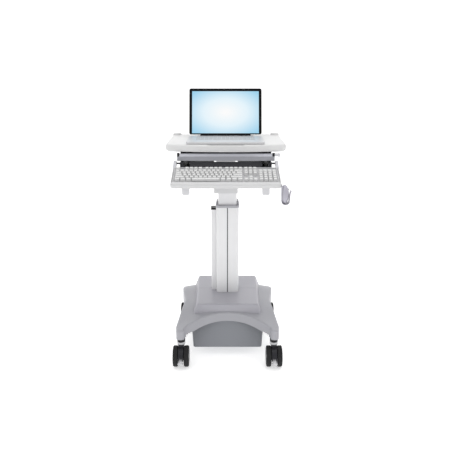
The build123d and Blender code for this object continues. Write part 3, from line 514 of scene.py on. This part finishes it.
def tidy_mesh(mesh: bpy.types.Mesh) -> bpy.types.Mesh:
    """Merge doubles, turn faces outwards and shade them smooth.

    Args:
        mesh: the mesh to mend.

    Returns:
        The same mesh.
    """
    work = bmesh.new()
    work.from_mesh(mesh)
    bmesh.ops.remove_doubles(work, verts=work.verts, dist=1e-6)
    bmesh.ops.recalc_face_normals(work, faces=work.faces)
    work.to_mesh(mesh)
    work.free()
    return smooth(mesh)


def rounded(mesh: bpy.types.Mesh, radius: float, segments: int = 3) -> bpy.types.Mesh:
    """Mesh with its sharp edges rounded.

    Args:
        mesh: the mesh to round.
        radius: edge radius in metres.
        segments: faces across a rounded edge.

    Returns:
        A new mesh.
    """
    piece = linked("rounding", mesh)
    bevel = piece.modifiers.new("edges", "BEVEL")
    bevel.width = radius
    bevel.segments = segments
    bevel.limit_method = "ANGLE"
    return baked(piece)


class Axis(Enum):
    """Axis of a turned piece: where its two radial parts and its height go."""

    X = (2, 0, 1)
    Y = (0, 2, 1)
    Z = (0, 1, 2)


def lathe(name: str, profile: Sequence[tuple[float, float]], centre: Vector, steps: int,
          axis: Axis = Axis.Z) -> bpy.types.Mesh:
    """Closed ring turned from a profile.

    Args:
        name: name of the mesh.
        profile: closed outline as (radius, height).
        centre: a point on the axis; height is measured from it.
        steps: faces round the ring.
        axis: direction of the axis.

    Returns:
        The new mesh.
    """
    points = []
    for step in range(steps):
        angle = 2 * math.pi * step / steps
        for radius, height in profile:
            local = (radius * math.cos(angle), radius * math.sin(angle), height)
            points.append(tuple(centre + Vector([local[part] for part in axis.value])))
    count = len(profile)
    faces = []
    for step in range(steps):
        here, there = step * count, ((step + 1) % steps) * count
        for index in range(count):
            after = (index + 1) % count
            faces.append((here + index, here + after, there + after, there + index))
    mesh = bpy.data.meshes.new(name)
    mesh.from_pydata(points, [], faces)
    return tidy_mesh(mesh)


def strip_mesh(name: str, points: Sequence[tuple[float, float, float]]) -> bpy.types.Mesh:
    """Open strip of faces between two edges.

    Args:
        name: name of the mesh.
        points: points in pairs, one on each edge.

    Returns:
        The new mesh.
    """
    faces = [(low, low + 1, low + 3, low + 2) for low in range(0, len(points) - 2, 2)]
    mesh = bpy.data.meshes.new(name)
    mesh.from_pydata(points, [], faces)
    return mesh


class Repeater:
    """Geometry Nodes tree that repeats a small block in a ring or a row."""

    def __init__(self, name: str, finish: object) -> None:
        """Start the tree.

        Args:
            name: name of the tree and of the mesh it makes.
            finish: finish of the result.
        """
        self.name = name
        self.finish = finish
        self.tree = bpy.data.node_groups.new(name, "GeometryNodeTree")
        face = self.tree.interface
        face.new_socket("Geometry", in_out="OUTPUT", socket_type="NodeSocketGeometry")
        self.sockets: dict[str, str] = {}
        for label, kind in (("Count", "NodeSocketInt"), ("Spread", "NodeSocketVector"),
                            ("Block", "NodeSocketVector"), ("Start", "NodeSocketVector")):
            self.sockets[label] = face.new_socket(label, in_out="INPUT", socket_type=kind).identifier
        self.inputs = self.add("NodeGroupInput")
        self.output = self.add("NodeGroupOutput")

    def add(self, kind: str, settings: dict | None = None, values: dict | None = None) -> bpy.types.Node:
        """Add a node.

        Args:
            kind: the node's type name.
            settings: attributes set first.
            values: plain values or sockets for its inputs.

        Returns:
            The new node.
        """
        made = self.tree.nodes.new(kind)
        for key, value in (settings or {}).items():
            setattr(made, key, value)
        for key, value in (values or {}).items():
            if isinstance(value, bpy.types.NodeSocket):
                self.tree.links.new(value, made.inputs[key])
            else:
                made.inputs[key].default_value = value
        return made

    def close(self, points: bpy.types.NodeSocket, shape: bpy.types.NodeSocket, turn: object = None) -> None:
        """Put the shape on the points, realize it and give it its material.

        Args:
            points: where the shapes go.
            shape: the shape that is repeated.
            turn: rotation socket of each shape.
        """
        placed = {"Points": points, "Instance": shape}
        if turn is not None:
            placed["Rotation"] = turn
        spread = self.add("GeometryNodeInstanceOnPoints", {}, placed)
        whole = self.add("GeometryNodeRealizeInstances", {}, {"Geometry": spread.outputs[0]})
        painted = self.add("GeometryNodeSetMaterial", {},
                           {"Geometry": whole.outputs[0], "Material": finish_of(self.finish)})
        self.tree.links.new(painted.outputs[0], self.output.inputs[0])

    def row(self) -> "Repeater":
        """Repeat blocks in a straight row."""
        line = self.add("GeometryNodeMeshLine", {}, {"Count": self.inputs.outputs["Count"],
                                                     "Start Location": self.inputs.outputs["Start"],
                                                     "Offset": self.inputs.outputs["Spread"]})
        cube = self.add("GeometryNodeMeshCube", {}, {"Size": self.inputs.outputs["Block"]})
        self.close(line.outputs[0], cube.outputs[0])
        return self

    def ring(self) -> "Repeater":
        """Repeat blocks round an axis along X; Spread holds the radius in its first number."""
        parts = self.add("ShaderNodeSeparateXYZ", {}, {0: self.inputs.outputs["Spread"]})
        circle = self.add("GeometryNodeMeshCircle", {}, {"Vertices": self.inputs.outputs["Count"],
                                                         "Radius": parts.outputs[0]})
        upright = self.add("GeometryNodeTransform", {}, {"Geometry": circle.outputs[0],
                                                         "Rotation": (0.0, math.pi / 2, 0.0)})
        placed = self.add("GeometryNodeTransform", {}, {"Geometry": upright.outputs[0],
                                                        "Translation": self.inputs.outputs["Start"]})
        where = self.add("GeometryNodeInputPosition")
        radial = self.add("ShaderNodeVectorMath", {"operation": "SUBTRACT"},
                          {0: where.outputs[0], 1: self.inputs.outputs["Start"]})
        turned = self.add("FunctionNodeAlignRotationToVector", {"axis": "Z"}, {"Vector": radial.outputs[0]})
        cube = self.add("GeometryNodeMeshCube", {}, {"Size": self.inputs.outputs["Block"]})
        self.close(placed.outputs[0], cube.outputs[0], turned.outputs[0])
        return self

    def mesh(self, count: int, spread: Sequence[float], block: Sequence[float],
             start: Sequence[float]) -> bpy.types.Mesh:
        """Run the tree once.

        Args:
            count: how many blocks.
            spread: step of a row, or radius of a ring.
            block: size of a block.
            start: first place of a row, or centre of a ring.

        Returns:
            A plain mesh.
        """
        seed = bpy.data.meshes.new(self.name)
        seed.from_pydata([(0, 0, 0)], [], [])
        piece = linked(self.name, seed)
        modifier = piece.modifiers.new("repeat", "NODES")
        modifier.node_group = self.tree
        chosen = {"Count": count, "Spread": tuple(spread), "Block": tuple(block), "Start": tuple(start)}
        for label, value in chosen.items():
            modifier[self.sockets[label]] = value
        piece.update_tag()
        return baked(piece)


def middle_of(node: str) -> Vector:
    """Centre of a CAD node's box."""
    low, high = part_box(node)
    return (low + high) / 2


# ---------------------------------------------------------------------------- sub-assemblies
@dataclass
class Base:
    """Deck, plateau, battery box and frame."""

    vent_count: int = 12
    vent_pitch: float = 0.014
    vent_block: Sequence[float] = (0.006, 0.003, 0.05)
    vent_drop: float = 0.02
    vent_round: float = 0.0008

    def dress(self) -> None:
        """Finish the CAD nodes of the base."""
        dress(["base_cover"], DECK)
        dress(["power_cover"], COVER)
        dress(["battery_box"], BOX)
        dress(["base_frame"], FRAME_PAINT)
        dress(["battery_pack"], CELL)
        dress(["foot_bolts", "caster_stems"], ZINC)
        dress(["caster_rings"], BLACK)

    def vents(self) -> None:
        """Row of cooling ribs on the back wall of the battery box."""
        low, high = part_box("battery_box")
        first = (low.x + high.x) / 2 - self.vent_pitch * (self.vent_count - 1) / 2
        start = (first, high.y, (low.z + high.z) / 2 - self.vent_drop)
        mesh = Repeater("box_vents", BOX).row().mesh(self.vent_count, (self.vent_pitch, 0, 0),
                                                     self.vent_block, start)
        add_piece("box_vents", rounded(mesh, self.vent_round), BOX, "base")

    def build(self) -> None:
        """Finish and fit the base."""
        self.dress()
        self.vents()


@dataclass
class Caster:
    """One twin-wheel caster; neck_profile holds radii and depths below the top of the fork."""

    tag: str
    trail: float = 0.025
    spoke_count: int = 9
    spoke_radius: float = 0.021
    spoke_inset: float = 0.0035
    spoke_block: Sequence[float] = (0.0035, 0.0032, 0.021)
    neck_profile: Sequence[tuple[float, float]] = (
        (0.0185, 0.0142), (0.0192, 0.012), (0.0192, 0.002), (0.0182, 0.0005), (0.0125, 0.0005), (0.0125, 0.0142))
    neck_steps: int = 40
    grip_count: int = 3
    grip_pitch: float = 0.0034
    grip_place: Sequence[float] = (0.0035, 0.0070)
    grip_block: Sequence[float] = (0.019, 0.0014, 0.0012)

    def dress(self) -> None:
        """Finish its CAD nodes."""
        dress(["caster_fork_" + self.tag], HOOD)
        dress(["caster_tyres_" + self.tag], TYRE)
        dress(["caster_wheelset_" + self.tag], HUB)

    def spokes(self) -> None:
        """Ribs in the dish of each hub."""
        low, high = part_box("caster_wheelset_" + self.tag)
        y, z = (low.y + high.y) / 2, (low.z + high.z) / 2
        for side, x in (("a", low.x + self.spoke_inset), ("b", high.x - self.spoke_inset)):
            name = f"hub_spokes_{self.tag}_{side}"
            mesh = Repeater(name, HUB).ring().mesh(self.spoke_count, (self.spoke_radius, 0, 0),
                                                   self.spoke_block, (x, y, z))
            add_piece(name, mesh, HUB, "wheels_" + self.tag)

    def neck(self) -> None:
        """Pale swivel neck sleeve above the hood."""
        name = "swivel_neck_" + self.tag
        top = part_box("caster_fork_" + self.tag)[1].z
        wheel = middle_of("caster_tyres_" + self.tag)
        profile = [(radius, top - depth) for radius, depth in self.neck_profile]
        mesh = lathe(name, profile, Vector((wheel.x, wheel.y + self.trail, 0)), self.neck_steps)
        add_piece(name, mesh, FORK, "swivel_" + self.tag)

    def pedal(self) -> None:
        """Pedal finish and its grip ribs, on a caster that has one."""
        node = "brake_pedal_" + self.tag
        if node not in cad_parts:
            return
        dress([node], PEDAL)
        low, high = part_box(node)
        name = "pedal_grip_" + self.tag
        start = ((low.x + high.x) / 2, low.y + self.grip_place[0], low.z + self.grip_place[1])
        step = (0, self.grip_pitch, 0)
        mesh = Repeater(name, PEDAL).row().mesh(self.grip_count, step, self.grip_block, start)
        add_piece(name, mesh, PEDAL, "pedal_" + self.tag)

    def build(self) -> None:
        """Finish and fit the caster."""
        self.dress()
        self.spokes()
        self.neck()
        self.pedal()


@dataclass
class Column:
    """Outer column, riser, collar and cable duct."""

    def build(self) -> None:
        """Finish the column."""
        dress(["column_shell", "cable_duct"], COLUMN_PAINT)
        dress(["riser"], RISER_SKIN)
        dress(["slot_strip"], STRIP)
        dress(["column_collar"], COLLAR)
        dress(["duct_cap"], BLACK)
        dress(["lift_cylinder"], BLACK_STEEL)
        dress(["lift_rod"], CHROME)
        dress(["glide_pads"], WAX)


@dataclass
class Head:
    """Work surface, chassis, bracket and drawer; screw_head holds radii and heights of a screw."""

    screw_pitch: float = 0.09
    screw_count: int = 4
    screw_first: float = 0.06
    screw_rise: float = 0.022
    screw_head: Sequence[tuple[float, float]] = (
        (0.0, -0.0016), (0.0022, -0.0016), (0.0036, -0.0008), (0.004, 0.0), (0.0, 0.0))
    screw_steps: int = 16
    rib_count: int = 22
    rib_radius: float = 0.0093
    rib_inset: float = 0.0045
    rib_block: Sequence[float] = (0.0065, 0.0009, 0.0008)

    def dress(self) -> None:
        """Finish the CAD nodes of the head."""
        dress(["head_bracket"], BRACKET)
        dress(["head_chassis", "tray_channels"], BLACK_STEEL)
        dress(["work_surface"], TOP)
        dress(["drawer_channels"], ZINC)
        dress(["drawer_box"], DRAWER)
        dress(["drawer_front"], FRONT)
        dress(["front_end_caps"], BLACK)
        dress(["lock_knob"], LOCK)

    def screws(self) -> None:
        """Screw heads along both side walls of the chassis."""
        low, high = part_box("head_chassis")
        for side, x, outward in (("left", low.x, 1), ("right", high.x, -1)):
            profile = [(radius, outward * height) for radius, height in self.screw_head]
            for number in range(self.screw_count):
                name = f"chassis_screw_{side}_{number + 1}"
                y = low.y + self.screw_first + number * self.screw_pitch
                centre = Vector((x, y, low.z + self.screw_rise))
                mesh = lathe(name, profile, centre, self.screw_steps, Axis.X)
                add_piece(name, mesh, ZINC, "lift")

    def knurl(self) -> None:
        """Grip ribs round the lock knob."""
        low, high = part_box("lock_knob")
        centre = (high.x - self.rib_inset, (low.y + high.y) / 2, (low.z + high.z) / 2)
        mesh = Repeater("knob_grip", LOCK).ring().mesh(self.rib_count, (self.rib_radius, 0, 0),
                                                       self.rib_block, centre)
        add_piece("knob_grip", mesh, LOCK, "lock")

    def build(self) -> None:
        """Finish and fit the head."""
        self.dress()
        self.screws()
        self.knurl()


@dataclass
class Tray:
    """Carriage, arms, keyboard tray, keyboard, paddles and mouse holder.

    lip holds how far the outer lip stands out and how high, from the end of the round bottom; wheel_profile
    holds radii and places across the scroll wheel.
    """

    strip_half: float = 0.021
    strip_thick: float = 0.0026
    strip_round: float = 0.0009
    strip_gap: float = 0.0022
    bottom_gap: float = 0.0018
    bottom_steps: int = 12
    squash: float = 0.82
    back_rise: float = 0.02
    back_inset: float = 0.0013
    lip: Sequence[tuple[float, float]] = ((0.0006, 0.016), (0.003, 0.034), (0.0075, 0.046))
    tip_taper: float = 0.25
    wheel_profile: Sequence[tuple[float, float]] = (
        (0.004, -0.0028), (0.0075, -0.0022), (0.0078, 0.0), (0.0075, 0.0022), (0.004, 0.0028))
    wheel_steps: int = 28
    wheel_inset: float = 0.0079
    wheel_rise: float = 0.013

    def dress(self) -> None:
        """Finish the CAD nodes of the tray."""
        # the carriage plate is black-painted steel; its near-black also stands in for the shaded hollow behind
        # the keyboard, so it is partly painted shade
        dress(["tray_carriage", "tilt_rods"], BLACK_STEEL)
        dress(["tilt_arms"], ARM)
        dress(["keyboard_tray"], TRAY)
        dress(["keyboard_case"], CASE)
        dress(["keycaps", "space_bar"], KEY)
        dress(["paddle_left", "paddle_right"], PADDLE)
        dress(["mouse_body", "mouse_buttons"], MOUSE)

    def cradle(self) -> None:
        """Bent strip that holds the mouse: back, round bottom and a flared outer lip."""
        low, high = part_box("mouse_holder")
        mouse_low, mouse_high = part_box("mouse_body")
        y = (low.y + high.y) / 2
        radius = (mouse_high.x - mouse_low.x) / 2 + self.strip_gap
        centre_x = (mouse_low.x + mouse_high.x) / 2
        centre_z = mouse_low.z + self.squash * radius - self.bottom_gap
        path = [(low.x + self.back_inset, high.z), (centre_x - radius, centre_z + self.back_rise)]
        for step in range(self.bottom_steps + 1):
            angle = math.pi + math.pi * step / self.bottom_steps
            path.append((centre_x + radius * math.cos(angle),
                         centre_z + self.squash * radius * math.sin(angle)))
        path += [(centre_x + radius + out, centre_z + up) for out, up in self.lip]
        points = []
        for index, (x, z) in enumerate(path):
            narrow = self.tip_taper if index > len(path) - 3 else 0.0
            points += [(x, y + side * self.strip_half * (1.0 - narrow), z) for side in (-1, 1)]
        piece = linked("cradle_blank", strip_mesh("mouse_cradle", points))
        solid = piece.modifiers.new("wall", "SOLIDIFY")
        solid.thickness = self.strip_thick
        solid.offset = 0.0
        bevel = piece.modifiers.new("edges", "BEVEL")
        bevel.width = self.strip_round
        bevel.segments = 2
        cradle = add_piece("mouse_cradle", tidy_mesh(baked(piece)), HOLDER, "tray")
        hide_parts("mouse_holder")

    def scroll_wheel(self) -> None:
        """Scroll wheel between the mouse buttons."""
        low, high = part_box("mouse_buttons")
        centre = Vector((high.x - self.wheel_inset, (low.y + high.y) / 2, low.z + self.wheel_rise))
        mesh = lathe("scroll_wheel", self.wheel_profile, centre, self.wheel_steps, Axis.Y)
        add_piece("scroll_wheel", mesh, WHEEL_RUBBER, "mouse")

    def build(self) -> None:
        """Finish and fit the tray."""
        self.dress()
        self.cradle()
        self.scroll_wheel()


@dataclass
class Laptop:
    """Laptop on the work surface."""

    screen_node: str = "laptop_screen"
    lean: float = math.radians(18.5)
    dot_rise: float = 0.0065
    dot_lift: float = 0.0004
    dot_dome: float = 0.0002
    dot_radius: float = 0.0022
    dot_steps: int = 20

    def build(self) -> None:
        """Finish and fit the laptop."""
        dress(["laptop_base"], LAPTOP)
        dress(["laptop_keys"], LAPTOP_KEY)
        dress(["laptop_lid"], LID)
        low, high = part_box(self.screen_node)
        lit = LitScreen("lit_screen", (low + high) / 2, (high.x - low.x) / 2, (high.z - low.z) / 2)
        dress([self.screen_node], lit)
        self.camera_dot()

    def camera_dot(self) -> None:
        """Small lens over the screen."""
        low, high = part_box("laptop_lid")
        screen_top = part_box(self.screen_node)[1]
        up = Vector((0, math.sin(self.lean), math.cos(self.lean)))
        out = Vector((0, -math.cos(self.lean), math.sin(self.lean)))
        edge = Vector(((low.x + high.x) / 2, screen_top.y, screen_top.z))
        centre = edge + up * self.dot_rise + out * self.dot_lift
        points = [tuple(centre + out * self.dot_dome)]
        for step in range(self.dot_steps):
            angle = 2 * math.pi * step / self.dot_steps
            across = Vector((self.dot_radius * math.cos(angle), 0, 0))
            points.append(tuple(centre + across + up * self.dot_radius * math.sin(angle)))
        faces = [(0, 1 + step, 1 + (step + 1) % self.dot_steps) for step in range(self.dot_steps)]
        mesh = bpy.data.meshes.new("lid_camera")
        mesh.from_pydata(points, [], faces)
        smooth(mesh)
        add_piece("lid_camera", mesh, WHEEL_RUBBER, "laptop_screen_lid")


@dataclass
class Studio:
    """Pale floor that sweeps up behind the cart, soft lights and the camera."""

    lens: float = 44.55
    eye: Sequence[float] = (0.0006, -2.635, 1.379)
    pitch: float = 15.83
    floor_half: float = 12.0
    floor_front: float = -9.0
    sweep_start: float = 3.0
    sweep_radius: float = 3.0
    sweep_top: float = 9.0
    sweep_steps: int = 16
    floor_colour: Colour = (0.9, 0.9, 0.9)
    floor_glow: float = 0.55
    sky: float = 0.66
    aim: Sequence[float] = (0, 0, 0.7)
    lamps: Sequence[tuple] = field(default_factory=lambda: (
        ("key", (-1.6, -2.4, 3.2), 2.2, 11.0),
        ("fill", (2.2, -2.2, 2.2), 2.4, 5.0),
        ("top", (0.2, -0.2, 3.8), 2.6, 33.0)))

    def floor(self) -> None:
        """Plain floor and the sweep behind it."""
        line = [(self.floor_front, 0.0), (self.sweep_start, 0.0)]
        for step in range(1, self.sweep_steps + 1):
            angle = math.pi / 2 * step / self.sweep_steps
            line.append((self.sweep_start + self.sweep_radius * math.sin(angle),
                         self.sweep_radius * (1 - math.cos(angle))))
        line.append((self.sweep_start + self.sweep_radius, self.sweep_top))
        points = [(side * self.floor_half, y, z) for y, z in line for side in (-1, 1)]
        mesh = smooth(strip_mesh("floor", points))
        graph = Graph("floor_paint")
        cloud = graph.noise(1.5)
        tint = graph.mix(cloud, shade(self.floor_colour, 0.99), shade(self.floor_colour, 1.01))
        mesh.materials.append(graph.close(Base_Color=tint, Roughness=0.8, Emission_Color=tint,
                                          Emission_Strength=self.floor_glow))
        linked("floor", mesh)

    def lights(self) -> None:
        """Sky and area lamps aimed at the middle of the cart."""
        world = bpy.data.worlds.new("sky")
        bpy.context.scene.world = world
        world.use_nodes = True
        background = world.node_tree.nodes["Background"]
        background.inputs["Color"].default_value = (1, 1, 1, 1)
        background.inputs["Strength"].default_value = self.sky
        for name, place, size, power in self.lamps:
            data = bpy.data.lights.new(name, "AREA")
            data.shape = "DISK"
            data.size = size
            data.energy = power
            lamp = bpy.data.objects.new(name, data)
            lamp.location = place
            lamp.rotation_euler = (Vector(self.aim) - Vector(place)).to_track_quat("-Z", "Y").to_euler()
            bpy.context.scene.collection.objects.link(lamp)

    def camera(self) -> None:
        """Camera looking slightly down at the cart."""
        data = bpy.data.cameras.new("camera")
        data.lens = self.lens
        data.sensor_width = 36.0
        data.clip_end = 200.0
        camera = bpy.data.objects.new("camera", data)
        camera.location = self.eye
        camera.rotation_euler = (math.radians(90.0 - self.pitch), 0.0, 0.0)
        bpy.context.scene.collection.objects.link(camera)
        bpy.context.scene.camera = camera
        bpy.context.scene.view_settings.view_transform = "Standard"

    def build(self) -> None:
        """Set up the studio."""
        self.floor()
        self.lights()
        self.camera()


def main() -> None:
    """Build every sub-assembly and report it."""
    logging.basicConfig(level=logging.INFO, format="%(name)s: %(message)s")
    makers = [Studio(), Base(), Column(), Head(), Tray(), Laptop()]
    makers += [Caster(tag) for tag in ("fl", "fr", "rl", "rr")]
    for maker in makers:
        maker.build()
        LOG.info("built %s", type(maker).__name__)


if __name__ == "__main__":
    main()
